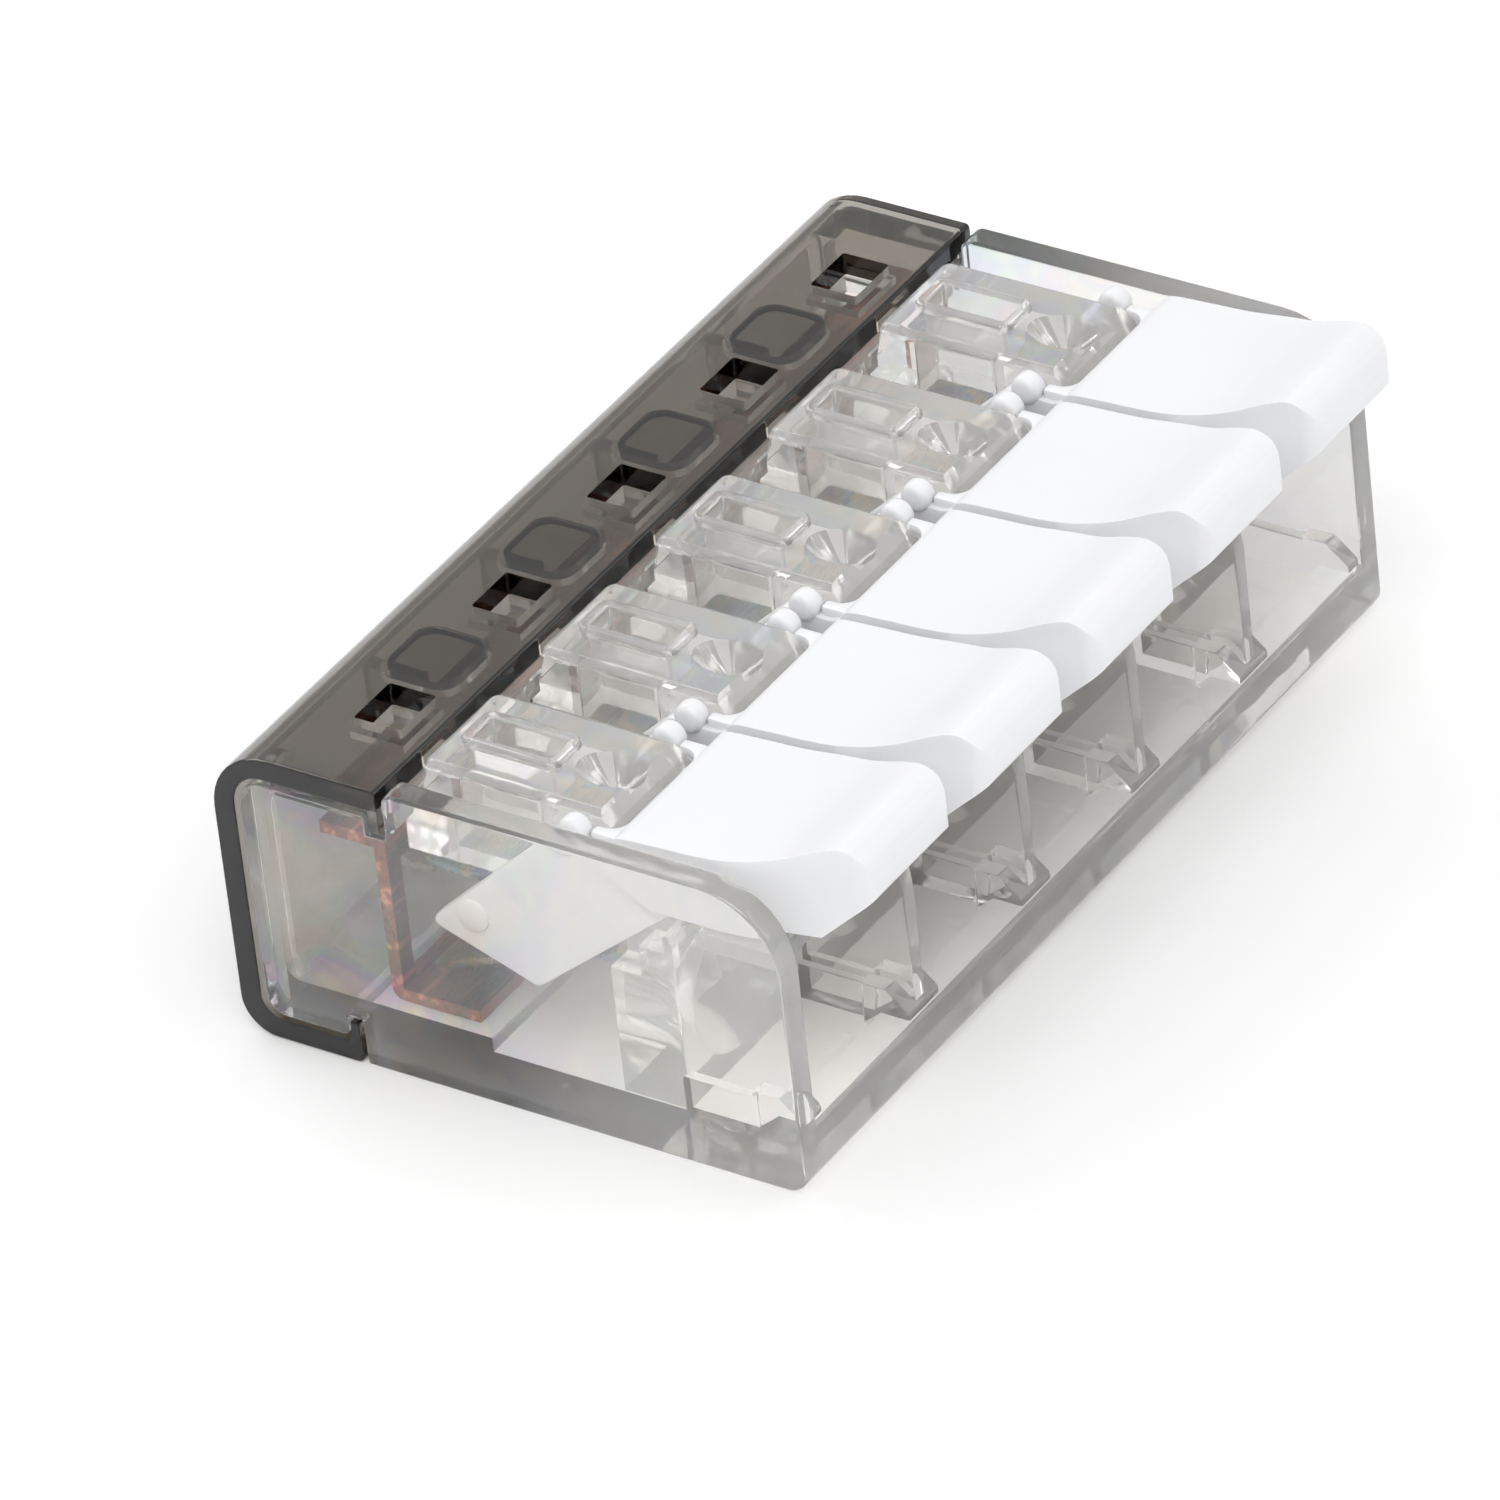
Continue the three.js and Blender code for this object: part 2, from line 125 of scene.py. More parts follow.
# ------------------------------------------------------------------ settings
class ConnectorSizes(bpy.types.PropertyGroup):
    """Sizes of the roundings and gaps that the moulds leave."""

    wall_rounding: bpy.props.FloatProperty(
        name="Wall rounding", description="Rounding along the edges of the clear walls",
        default=0.12 * MM, unit="LENGTH", precision=5,
    )
    island_rounding: bpy.props.FloatProperty(
        name="Island rounding", description="Rounding round the top of each raised island",
        default=0.3 * MM, unit="LENGTH", precision=5,
    )
    cap_rounding: bpy.props.FloatProperty(
        name="Cap rounding", description="Rounding along the edges of the rear cap",
        default=0.08 * MM, unit="LENGTH", precision=5,
    )
    lever_rounding: bpy.props.FloatProperty(
        name="Lever rounding", description="Rounding along the edges of a lever",
        default=0.14 * MM, unit="LENGTH", precision=5,
    )
    metal_rounding: bpy.props.FloatProperty(
        name="Metal rounding", description="Worn edges of the pressed metal strips",
        default=0.05 * MM, unit="LENGTH", precision=5,
    )
    floor_width: bpy.props.FloatProperty(
        name="Floor width", description="Width of the pale floor",
        default=3.0, unit="LENGTH",
    )


class ConnectorColours(bpy.types.PropertyGroup):
    """Colours of the connector's materials."""

    clear: bpy.props.FloatVectorProperty(
        name="Clear plastic", description="Tint of the clear housing",
        subtype="COLOR", size=3, default=(0.985, 0.98, 0.968), min=0, max=1,
    )
    smoke: bpy.props.FloatVectorProperty(
        name="Smoke plastic", description="Light that the smoke cap lets through",
        subtype="COLOR", size=3, default=(0.34, 0.30, 0.24), min=0, max=1,
    )
    lever: bpy.props.FloatVectorProperty(
        name="Lever plastic", description="White of the hand levers",
        subtype="COLOR", size=3, default=(0.81, 0.815, 0.83), min=0, max=1,
    )
    copper: bpy.props.FloatVectorProperty(
        name="Copper", description="Colour of the busbar",
        subtype="COLOR", size=3, default=(0.3, 0.11, 0.06), min=0, max=1,
    )
    steel: bpy.props.FloatVectorProperty(
        name="Spring steel", description="Colour of the clamping springs",
        subtype="COLOR", size=3, default=(0.13, 0.13, 0.15), min=0, max=1,
    )
    floor: bpy.props.FloatVectorProperty(
        name="Floor", description="Colour of the pale floor",
        subtype="COLOR", size=3, default=(0.95, 0.95, 0.95), min=0, max=1,
    )


# ------------------------------------------------------------------ modelling by hand
def pick(obj):
    """Makes one object the only selected one and the active one."""
    bpy.ops.object.select_all(action="DESELECT")
    obj.select_set(True)
    bpy.context.view_layer.objects.active = obj


def settle(obj):
    """Puts an object's place, turn and size into its mesh."""
    pick(obj)
    bpy.ops.object.transform_apply(location=True, rotation=True, scale=True)
    return obj


def cuboid(name, x, y, z):
    bpy.ops.object.select_all(action="DESELECT")
    bpy.ops.mesh.primitive_cube_add(
        size=1,
        location=[sum(span) / 2 * MM for span in (x, y, z)],
        scale=[(span[1] - span[0]) * MM for span in (x, y, z)],
    )
    bpy.context.object.name = name
    return settle(bpy.context.object)


def round_bar(name, radii, start, axis, length, sides=32):
    """A round or tapered bar from a point along x or y, with a radius at each end."""
    turn = (0, math.pi / 2, 0) if axis == "x" else (-math.pi / 2, 0, 0)
    way = Vector((1, 0, 0)) if axis == "x" else Vector((0, 1, 0))
    bpy.ops.object.select_all(action="DESELECT")
    bpy.ops.mesh.primitive_cone_add(
        vertices=sides, radius1=radii[0] * MM, radius2=radii[1] * MM, depth=length * MM,
        location=(Vector(start) + way * length / 2) * MM, rotation=turn,
    )
    bpy.context.object.name = name
    return settle(bpy.context.object)


def select_edges(obj, test):
    """Selects the edges whose middle and direction pass a test."""
    mesh = obj.data
    for part in (*mesh.vertices, *mesh.edges, *mesh.polygons):
        part.select = False
    for edge in mesh.edges:
        a, b = (mesh.vertices[i].co / MM for i in edge.vertices)
        edge.select = bool(test((a + b) / 2, (b - a).normalized()))
    bpy.context.tool_settings.mesh_select_mode = (False, True, False)


def round_edges(obj, reach, steps, test):
    """Rounds the edges that pass a test. reach is how far the rounding goes along each face."""
    select_edges(obj, test)
    pick(obj)
    bpy.ops.object.mode_set(mode="EDIT")
    bpy.ops.mesh.bevel(offset=reach * MM, segments=steps, affect="EDGES")
    bpy.ops.object.mode_set(mode="OBJECT")
    return obj


def soften(obj, width, steps=2, angle=40):
    """A small rounding along every edge sharper than an angle."""
    pick(obj)
    modifier = obj.modifiers.new("Soften", "BEVEL")
    modifier.width = width
    modifier.segments = steps
    modifier.limit_method = "ANGLE"
    modifier.angle_limit = math.radians(angle)
    bpy.ops.object.modifier_apply(modifier=modifier.name)
    return obj


def corner_reach(before, corner, after, radius):
    """How far an arc of a radius starts from the corner that it rounds."""
    ways = [Vector((p[0] - corner[0], p[1] - corner[1])).normalized() for p in (before, after)]
    return radius / math.tan(math.acos(max(-1, min(1, ways[0].dot(ways[1])))) / 2)


def plate(name, outline, span, plan=False, steps=6):
    """A plate from an outline of (a, b, corner radius).

    The outline is y and z, pulled along x. With plan it is x and y, pulled along z.
    """
    if plan:
        long_way = Vector((0, 0, 1))
        places = [Vector((p[0], p[1], span[0])) for p in outline]
    else:
        long_way = Vector((1, 0, 0))
        places = [Vector((span[0], p[0], p[1])) for p in outline]
    bpy.ops.object.select_all(action="DESELECT")
    bpy.ops.mesh.primitive_plane_add(size=MM, location=places[0] * MM)
    obj = settle(bpy.context.object)
    obj.name = name
    bpy.ops.object.mode_set(mode="EDIT")
    bpy.context.tool_settings.mesh_select_mode = (True, False, False)
    bpy.ops.mesh.select_all(action="SELECT")
    bpy.ops.mesh.merge(type="CENTER")
    for before, after in zip(places, places[1:]):
        bpy.ops.mesh.extrude_vertices_move(TRANSFORM_OT_translate={"value": (after - before) * MM})
    bpy.ops.mesh.select_all(action="SELECT")
    bpy.ops.mesh.edge_face_add()
    bpy.ops.mesh.extrude_region_move(
        TRANSFORM_OT_translate={"value": long_way * (span[1] - span[0]) * MM}
    )
    bpy.ops.mesh.select_all(action="SELECT")
    bpy.ops.mesh.normals_make_consistent(inside=False)
    bpy.ops.object.mode_set(mode="OBJECT")
    for i, point in enumerate(outline):
        if len(point) < 3:
            continue
        corner = places[i]
        reach = corner_reach(outline[i - 1], point, outline[(i + 1) % len(outline)], point[2])

        def at_corner(centre, way, corner=corner):
            off = centre - corner
            off -= long_way * off.dot(long_way)
            return abs(way.dot(long_way)) > 0.99 and off.length < 0.01

        round_edges(obj, reach, steps, at_corner)
    return obj


def rounded_box(name, centre, half, radius, z):
    (x, y), (a, b) = centre, half
    corners = [(x - a, y - b), (x + a, y - b), (x + a, y + b), (x - a, y + b)]
    return plate(name, [(*corner, radius) for corner in corners], z, plan=True)


def boolean(obj, operation, tools):
    for tool in tools:
        pick(obj)
        modifier = obj.modifiers.new("Boolean", "BOOLEAN")
        modifier.operation = operation
        modifier.solver = "MANIFOLD"
        modifier.object = tool
        before = len(obj.data.vertices), sum(v.co.length for v in obj.data.vertices)
        bpy.ops.object.modifier_apply(modifier=modifier.name)
        after = len(obj.data.vertices), sum(v.co.length for v in obj.data.vertices)
        if before == after:
            raise RuntimeError(f"{tool.name} did not change {obj.name}")
        bpy.data.objects.remove(tool)
    return obj


def join(obj, tools):
    return boolean(obj, "UNION", tools)


def cut(obj, tools):
    return boolean(obj, "DIFFERENCE", tools)


def twin(obj, name, x):
    """A copy with its own mesh, moved along x."""
    made = obj.copy()
    made.data = obj.data.copy()
    made.name = name
    bpy.context.scene.collection.objects.link(made)
    made.location.x = x * MM
    return settle(made)


def mirrored(obj, name):
    """A copy turned into its own mirror image across x 0."""
    made = twin(obj, name, 0)
    made.scale.x = -1
    settle(made)
    bpy.ops.object.mode_set(mode="EDIT")
    bpy.ops.mesh.select_all(action="SELECT")
    bpy.ops.mesh.remove_doubles(threshold=0.0001 * MM)
    bpy.ops.mesh.normals_make_consistent(inside=False)
    bpy.ops.object.mode_set(mode="OBJECT")
    return made


def spread(obj, places):
    """Copies of a piece modelled at x 0, one at each place. The first is the piece itself."""
    copies = [twin(obj, f"{obj.name}_{i}", x) for i, x in enumerate(places)]
    bpy.data.objects.remove(obj)
    return copies


def refined(node, width):
    """A copy of a frame node with its triangles merged into flat faces and its edges softened."""
    source = frame["nodes"][node]
    made = source.copy()
    made.data = source.data.copy()
    made.parent = None
    for key in list(made.keys()):
        del made[key]
    made.matrix_world = Matrix.Identity(4)
    bpy.context.scene.collection.objects.link(made)
    pick(made)
    bpy.ops.object.mode_set(mode="EDIT")
    bpy.ops.mesh.select_all(action="SELECT")
    bpy.ops.mesh.remove_doubles(threshold=0.001 * MM)
    bpy.ops.mesh.customdata_custom_splitnormals_clear()
    bpy.ops.mesh.dissolve_limited(angle_limit=math.radians(1))
    bpy.ops.object.mode_set(mode="OBJECT")
    return soften(made, width)


def complete(obj, name, finish, body, *nodes):
    """Shades a finished piece, gives it its finish and lets it ride on a body of the frame."""
    pick(obj)
    obj.name = name
    bpy.ops.object.shade_smooth_by_angle(angle=math.radians(32))
    modifier = obj.modifiers.new("Even shading", "WEIGHTED_NORMAL")
    modifier.keep_sharp = True
    modifier.weight = 100
    bpy.ops.object.modifier_apply(modifier=modifier.name)
    obj.data.materials.clear()
    obj.data.materials.append(finish)
    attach(obj, body)
    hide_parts(*nodes)
    return obj


# ------------------------------------------------------------------ finishes
class Finish:
    """A material being made, with the nodes that its patterns share."""

    def __init__(self, name):
        self.material = bpy.data.materials.new(name)
        self.material["slot"] = name
        self.material.use_nodes = True
        self.tree = self.material.node_tree
        self.shader = self.tree.nodes["Principled BSDF"]
        self.output = self.tree.nodes["Material Output"]
        self.place = self.tree.nodes.new("ShaderNodeTexCoord").outputs["Object"]

    def node(self, kind, links=None, **values):
        made = self.tree.nodes.new("ShaderNode" + kind)
        for key, value in values.items():
            setattr(made, key, value)
        for socket, source in (links or {}).items():
            if isinstance(source, bpy.types.NodeSocket):
                self.tree.links.new(source, made.inputs[socket])
            else:
                made.inputs[socket].default_value = source
        return made

    def noise(self, feature, detail=3.0, distortion=0.0, stretch=(1, 1, 1)):
        """Noise whose spots are about a given number of millimetres across."""
        place = self.node("Mapping", {"Vector": self.place, "Scale": stretch}).outputs[0]
        links = {"Vector": place, "Scale": 1 / (feature * MM), "Detail": detail, "Distortion": distortion}
        return self.node("TexNoise", links).outputs["Fac"]

    def ramp(self, source, stops):
        made = self.node("ValToRGB", {"Fac": source})
        elements = made.color_ramp.elements
        while len(elements) < len(stops):
            elements.new(0.5)
        for element, (position, colour) in zip(elements, stops):
            element.position = position
            element.color = (*colour, 1)
        return made.outputs["Color"]

    def span(self, source, low, high, start=0.3, end=0.7):
        made = self.node("MapRange", {"Value": source, "From Min": start, "From Max": end})
        made.inputs["To Min"].default_value = low
        made.inputs["To Max"].default_value = high
        return made.outputs["Result"]

    def mixed(self, factor, a, b, blend="MIX"):
        made = self.tree.nodes.new("ShaderNodeMix")
        made.data_type = "RGBA"
        made.blend_type = blend
        for i, value in ((0, factor), (6, a), (7, b)):
            if isinstance(value, bpy.types.NodeSocket):
                self.tree.links.new(value, made.inputs[i])
            else:
                made.inputs[i].default_value = value if i == 0 else (*value, 1)
        return made.outputs[2]

    def drive(self, socket, source):
        self.tree.links.new(source, self.shader.inputs[socket])

    def bump(self, source, height, strength=1.0):
        links = {"Height": source, "Strength": strength, "Distance": height * MM}
        self.drive("Normal", self.node("Bump", links).outputs["Normal"])

    def let_lamps_through(self, tint):
        """Lamps shine through, as they do through a thin clear wall."""
        rays = self.node("LightPath").outputs["Is Shadow Ray"]
        clear = self.node("BsdfTransparent", {"Color": (*tint, 1)}).outputs[0]
        mix = self.node("MixShader", {0: rays, 1: self.shader.outputs[0], 2: clear})
        self.tree.links.new(mix.outputs[0], self.output.inputs["Surface"])

    def absorb(self, colour, density):
        volume = self.node("VolumeAbsorption", {"Color": (*colour, 1), "Density": density})
        self.tree.links.new(volume.outputs[0], self.output.inputs["Volume"])


def clear_plastic(colours):
    finish = Finish("clear_polycarbonate")
    shader = finish.shader.inputs
    shader["IOR"].default_value = 1.58
    swirl = finish.noise(3.2, detail=2, distortion=1.2, stretch=(0.6, 1, 1))
    hues = finish.ramp(swirl, [
        (0.34, (0.8, 0.66, 0.52)), (0.43, (0.93, 0.86, 0.8)), (0.49, (0.62, 0.83, 0.68)),
        (0.54, (0.58, 0.68, 0.93)), (0.6, (0.86, 0.6, 0.84)), (0.68, (0.95, 0.87, 0.62)),
    ])
    where = finish.node("SeparateXYZ", {0: finish.place}).outputs
    outward = finish.node("Math", {0: where["X"]}, operation="ABSOLUTE").outputs[0]
    in_end_wall = finish.span(outward, 0.04, 1.0, start=13.6 * MM, end=14.2 * MM)
    rearward = finish.span(where["Y"], 0.2, 1.0, start=-2 * MM, end=4 * MM)
    milky = finish.span(finish.noise(2.0, detail=2), 0.82, 0.87)
    see_through = finish.node("Math", {
        0: finish.span(outward, 0.0, 0.12, start=13.8 * MM, end=14.2 * MM),
        1: finish.span(where["Y"], 0.0, 1.0, start=-4 * MM, end=1 * MM),
    }, operation="MULTIPLY").outputs[0]
    clearer = finish.node("Math", {0: milky, 1: see_through}, operation="ADD").outputs[0]
    finish.drive("Transmission Weight", clearer)
    strained = finish.span(finish.noise(4.0, detail=1), 0.1, 0.95)
    for mask in (in_end_wall, rearward):
        strained = finish.node("Math", {0: strained, 1: mask}, operation="MULTIPLY").outputs[0]
    finish.drive("Base Color", finish.mixed(strained, tuple(colours.clear), hues))
    finish.drive("Roughness", finish.span(finish.noise(0.9, detail=4), 0.015, 0.06))
    finish.bump(finish.noise(1.6, detail=2), 0.012)
    finish.let_lamps_through((0.965, 0.96, 0.95))
    finish.absorb((0.74, 0.68, 0.58), 14)
    return finish.material


def smoke_plastic(colours):
    finish = Finish("smoke_polycarbonate")
    shader = finish.shader.inputs
    shader["Transmission Weight"].default_value = 1
    shader["IOR"].default_value = 1.58
    shader["Specular IOR Level"].default_value = 0.16
    cloud = finish.noise(2.5, detail=3, distortion=0.6, stretch=(0.5, 1, 1))
    tints = [(0.3, (0.9, 0.89, 0.87)), (0.7, (0.98, 0.97, 0.96))]
    finish.drive("Base Color", finish.ramp(cloud, tints))
    finish.drive("Roughness", finish.span(finish.noise(0.8, detail=4), 0.02, 0.07))
    finish.bump(finish.noise(1.4, detail=2), 0.01)
    finish.let_lamps_through((0.5, 0.48, 0.45))
    finish.absorb(tuple(colours.smoke), 1650)
    return finish.material


def lever_plastic(colours):
    finish = Finish("white_lever")
    shader = finish.shader.inputs
    shader["IOR"].default_value = 1.5
    shader["Subsurface Weight"].default_value = 0.25
    shader["Subsurface Radius"].default_value = (1, 0.9, 0.8)
    shader["Subsurface Scale"].default_value = 0.5 * MM
    white = Vector(colours.lever)
    flow = finish.noise(3.0, detail=3, stretch=(1, 0.5, 1))
    finish.drive("Base Color", finish.ramp(flow, [(0.3, tuple(white * 0.975)), (0.7, tuple(white))]))
    finish.drive("Roughness", finish.span(finish.noise(0.4, detail=4), 0.28, 0.36))
    finish.bump(finish.noise(0.35, detail=2), 0.002, 0.25)
    return finish.material


def copper(colours):
    finish = Finish("copper_busbar")
    finish.shader.inputs["Metallic"].default_value = 1
    tone = Vector(colours.copper)
    rolled = finish.noise(0.5, detail=5, stretch=(0.12, 1, 1))
    # Base colour varies at random between a darker and the plain copper tone; the last stop, a bright
    # orange, is a painted glint on the metal.
    tones_and_glints = [(0.3, tuple(tone * 0.6)), (0.58, tuple(tone)), (0.68, (0.78, 0.33, 0.19))]
    finish.drive("Base Color", finish.ramp(rolled, tones_and_glints))
    finish.drive("Roughness", finish.span(rolled, 0.2, 0.42))
    finish.bump(rolled, 0.008)
    return finish.material


def spring_steel(colours):
    finish = Finish("spring_steel")
    finish.shader.inputs["Metallic"].default_value = 1
    tone = Vector(colours.steel)
    heat = finish.noise(1.8, detail=2, distortion=1.0)
    finish.drive("Base Color", finish.ramp(heat, [
        (0.3, tuple(tone)), (0.45, (0.16, 0.17, 0.3)), (0.52, (0.14, 0.24, 0.2)),
        (0.58, (0.34, 0.26, 0.16)), (0.7, tuple(tone * 1.3)),
    ]))
    grain = finish.noise(0.3, detail=5, stretch=(0.08, 1, 1))
    finish.drive("Roughness", finish.span(grain, 0.2, 0.38))
    finish.bump(grain, 0.004)
    return finish.material


def floor_finish(colours):
    finish = Finish("pale_floor")
    tone = Vector(colours.floor)
    mottle = finish.noise(40, detail=2)
    finish.drive("Base Color", finish.ramp(mottle, [(0.3, tuple(tone * 0.99)), (0.7, tuple(tone))]))
    finish.drive("Roughness", finish.span(finish.noise(10, detail=3), 0.75, 0.85))
    return finish.material


# ------------------------------------------------------------------ the clear housing
def arc(radius, z0, z1, steps):
    """Points at a radius in front of the levers' pivot, between two heights."""
    heights = [z0 + (z1 - z0) * i / steps for i in range(steps + 1)]
    return [(PIVOT[0] - math.sqrt(radius**2 - (z - PIVOT[1]) ** 2), z) for z in heights]


def end_wall(name, span, rounding):
    wall = plate(name, [
        (FRONT, 0, 0.6), *LIP_GROOVE,
        (CHAMBER_REAR, CHAMBER_SOLE, 0.7), (CHAMBER_REAR, CHAMBER_ROOF, 0.9), (HOOK_REAR, CHAMBER_ROOF),
        (HOOK_REAR, HOOK_BOTTOM - GAP), (SHOULDER + 0.1, HOOK_BOTTOM - GAP),
        (SHOULDER + 0.1, TOP, 0.35), (FRONT, TOP, 2.4),
    ], span, steps=8)
    return soften(wall, rounding, 3)


def floor_plate():
    return plate("floor_plate", [
        (FRONT, 0, 0.6), *LIP_GROOVE,
        (CHAMBER_REAR - 0.35, CHAMBER_SOLE), (CHAMBER_REAR - 0.35, 1.85), (1.0, 1.85), (1.0, 1.4),
        (-7.3, 1.4), (-7.9, 1.9), (FRONT, 1.9, 0.15),
    ], (0.35 - END, END - 0.35))


def divider(rounding):
    wall = plate("divider", [
        (-8.7, 1.0), (1.2, 1.0), (1.2, 2.6), (3.7, 2.6), (3.7, 7.8), (SHOULDER, 8.15),
        (-2.6, 8.15, 0.2), (-2.6, 7.4), (-8.7, 7.4, 1.6),
    ], (-0.25, 0.25))
    return soften(wall, rounding * 0.6)


def wall_foot(name, span, rounding):
    tab = plate(name, [(-8.8, 1.0), (-7.3, 1.0), (-7.3, 2.7), (-8.1, 2.7), (-8.8, 2.1)], span)
    inset = (span[1] - span[0]) / 6
    ledge = cuboid("ledge", (span[0] + inset, span[1] - inset), (-7.4, -5.1), (1.0, 2.5))
    return join(soften(tab, rounding * 0.5), [soften(ledge, rounding * 0.5)])


def island(rounding):
    """A raised island with an open window inside a raised rim, and a cone dimple."""
    body = plate("island", [
        (-3.3, 6.7), (3.6, 6.7), (3.6, CHAMBER_ROOF - 0.18),
        (SHOULDER, CHAMBER_ROOF - 0.18), (SHOULDER, TOP),
        *arc(ISLAND_SWING, TOP, 7.3, 8),
    ], (-1.85, 1.85))
    round_edges(body, 0.35, 5, lambda c, d: abs(d.z) > 0.99 and c.y > 3 and c.z > 8)
    round_edges(body, rounding / MM, 4, lambda c, d: c.z > TOP - 0.01 and c.y > -2.2)
    rim = rounded_box("rim", (0, 1.22), (0.8, 1.58), 0.42, (TOP - 0.3, TOP + 0.2))
    round_edges(rim, 0.12, 3, lambda c, d: c.z > TOP + 0.19)
    well = rounded_box("well", (0, 1.22), (0.52, 1.3), 0.12, (6.0, 10))
    cone = round_bar("cone", (0.12, 1.0), (0, 0, 0), "x", 1.0, 40)
    cone.scale = (1, 1.15, 0.8)
    cone.rotation_euler.y = -math.pi / 2
    cone.location = Vector((0, -1.7, TOP - 0.95)) * MM
    settle(cone)
    return cut(join(body, [rim]), [well, cone])


def funnel(rounding):
    """The stepped block that guides a wire into its clamp, with the ceiling over the entry."""
    half = PITCH / 2 - 0.15
    block = plate("funnel", [
        (-5.2, 1.0), (-3.1, 1.0), (-3.1, 5.4), (-4.1, 5.4), (-4.1, 6.4), (-4.9, 6.4), (-4.9, 6.95),
        (-5.2, 6.95),
    ], (-half, half))
    soften(block, rounding * 0.6)
    ceiling = soften(cuboid("ceiling", (-half, half), (-8.5, -6.0), (6.85, 7.4)), rounding * 0.6)
    tongue = cuboid("tongue", (-1.85, 1.85), (-6.1, -2.95), (6.85, 7.4))
    lintel = cuboid("lintel", (-1.85, 1.85), (-5.2, -3.1), (5.0, 6.95))
    join(block, [ceiling, soften(tongue, rounding * 0.5), soften(lintel, rounding * 0.5)])
    mouth = round_bar("mouth", (2.1, 1.6), (0, -5.21, ENTRY_HEIGHT), "y", 1.01, 48)
    throat = round_bar("throat", (1.6, 1.6), (0, -4.21, ENTRY_HEIGHT), "y", 1.4, 48)
    return cut(block, [mouth, throat])


def chamber_roof():
    roof = cuboid("chamber_roof", (0.4 - END, END - 0.4), (SHOULDER, CHAMBER_REAR - 0.5),
                  (CHAMBER_ROOF - 0.55, CHAMBER_ROOF))
    groove = cuboid("groove", (-END, 0.55 - END), (SHOULDER + 0.1, HOOK_REAR), (7, 9))
    far_groove = cuboid("far_groove", (END - 0.55, END), (SHOULDER + 0.1, HOOK_REAR), (7, 9))
    port = cuboid("port", (-0.975, 0.975), (4.4, 6.1), (7, 9))
    catch = rounded_box("catch", (0, LUG_Y), (1.3, 1.25), 0.6, (7, 9))
    return cut(roof, [groove, far_groove, *spread(port, POLE_X), *spread(catch, BOUNDARIES)])


def chamber_rim(name, span, rounding):
    """The rear chamber's own wall, which follows the cap's inner curve beside an end wall."""
    outer = plate(name, [
        (HOOK_REAR, 1.5), (5.6, 1.5), (5.6, CHAMBER_SOLE), (CHAMBER_REAR, CHAMBER_SOLE, 0.7),
        (CHAMBER_REAR, CHAMBER_ROOF, 0.9), (HOOK_REAR, CHAMBER_ROOF),
    ], span, steps=8)
    inner = plate("rim_hollow", [
        (2.0, 1.85), (CHAMBER_REAR - 0.55, 1.85, 0.5), (CHAMBER_REAR - 0.55, CHAMBER_ROOF - 0.5, 0.7),
        (2.0, CHAMBER_ROOF - 0.5),
    ], (span[0] - 1, span[1] + 1), steps=8)
    return soften(cut(outer, [inner]), rounding * 0.5)


def build_housing(sizes):
    rounding = sizes.wall_rounding
    body = end_wall("housing_shell", (-END, -INNER_END), rounding)
    join(body, [
        floor_plate(),
        end_wall("far_end_wall", (INNER_END, END), rounding),
        *spread(divider(rounding), BOUNDARIES),
        *spread(wall_foot("foot", (-FOOT_HALF, FOOT_HALF), rounding), BOUNDARIES),
        wall_foot("left_foot", (0.4 - END, FOOT_HALF - 0.25 - INNER_END), rounding),
        wall_foot("right_foot", (INNER_END + 0.25 - FOOT_HALF, END - 0.4), rounding),
        chamber_roof(),
        *spread(island(sizes.island_rounding), POLE_X),
        *spread(funnel(rounding), POLE_X),
        chamber_rim("left_rim", (0.4 - END, 0.6 - INNER_END), rounding),
        chamber_rim("right_rim", (INNER_END - 0.6, END - 0.4), rounding),
    ])
    return body


# ------------------------------------------------------------------ the smoke rear cap
def build_cap(sizes):
    shell = plate("cap_shell", [
        (SOLE_FRONT, 0, 0.15), (REAR, 0, 1.1), (REAR, TOP, 2.0), (CAP_FRONT, TOP, 0.15),
        (CAP_FRONT, TOP - CAP_WALL), (REAR - CAP_WALL, TOP - CAP_WALL, 1.0),
        (REAR - CAP_WALL, CAP_SOLE, 0.75),
        (SOLE_FRONT + CAP_LIP, CAP_SOLE), (SOLE_FRONT + CAP_LIP, CAP_LIP_TOP), (SOLE_FRONT, CAP_LIP_TOP),
    ], (-END, END), steps=10)
    soften(shell, sizes.cap_rounding)
    lug_height = (CHAMBER_ROOF - 0.43, CHAMBER_ROOF + 0.22)
    lug = rounded_box("lug", (0, LUG_Y), (1.15, 1.1), 0.6, lug_height)
    soften(lug, sizes.cap_rounding)
    rib = cuboid("rib", (-0.25, 0.25), (6.4, REAR - 0.8), (2.1, 7.4))
    port = rounded_box("cap_port", (0, 5.25), (0.875, 0.75), 0.08, (7, 10))
    hook_height = (HOOK_BOTTOM, TOP - CAP_WALL + 0.1)
    hooks = [
        cuboid("hook", (-END, HOOK_WIDTH - END), (CAP_FRONT, CAP_FRONT + CAP_LIP), hook_height),
        cuboid("far_hook", (END - HOOK_WIDTH, END), (CAP_FRONT, CAP_FRONT + CAP_LIP), hook_height),
    ]
    join(shell, [*hooks, *spread(lug, BOUNDARIES), *spread(rib, BOUNDARIES)])
    return cut(shell, spread(port, POLE_X))


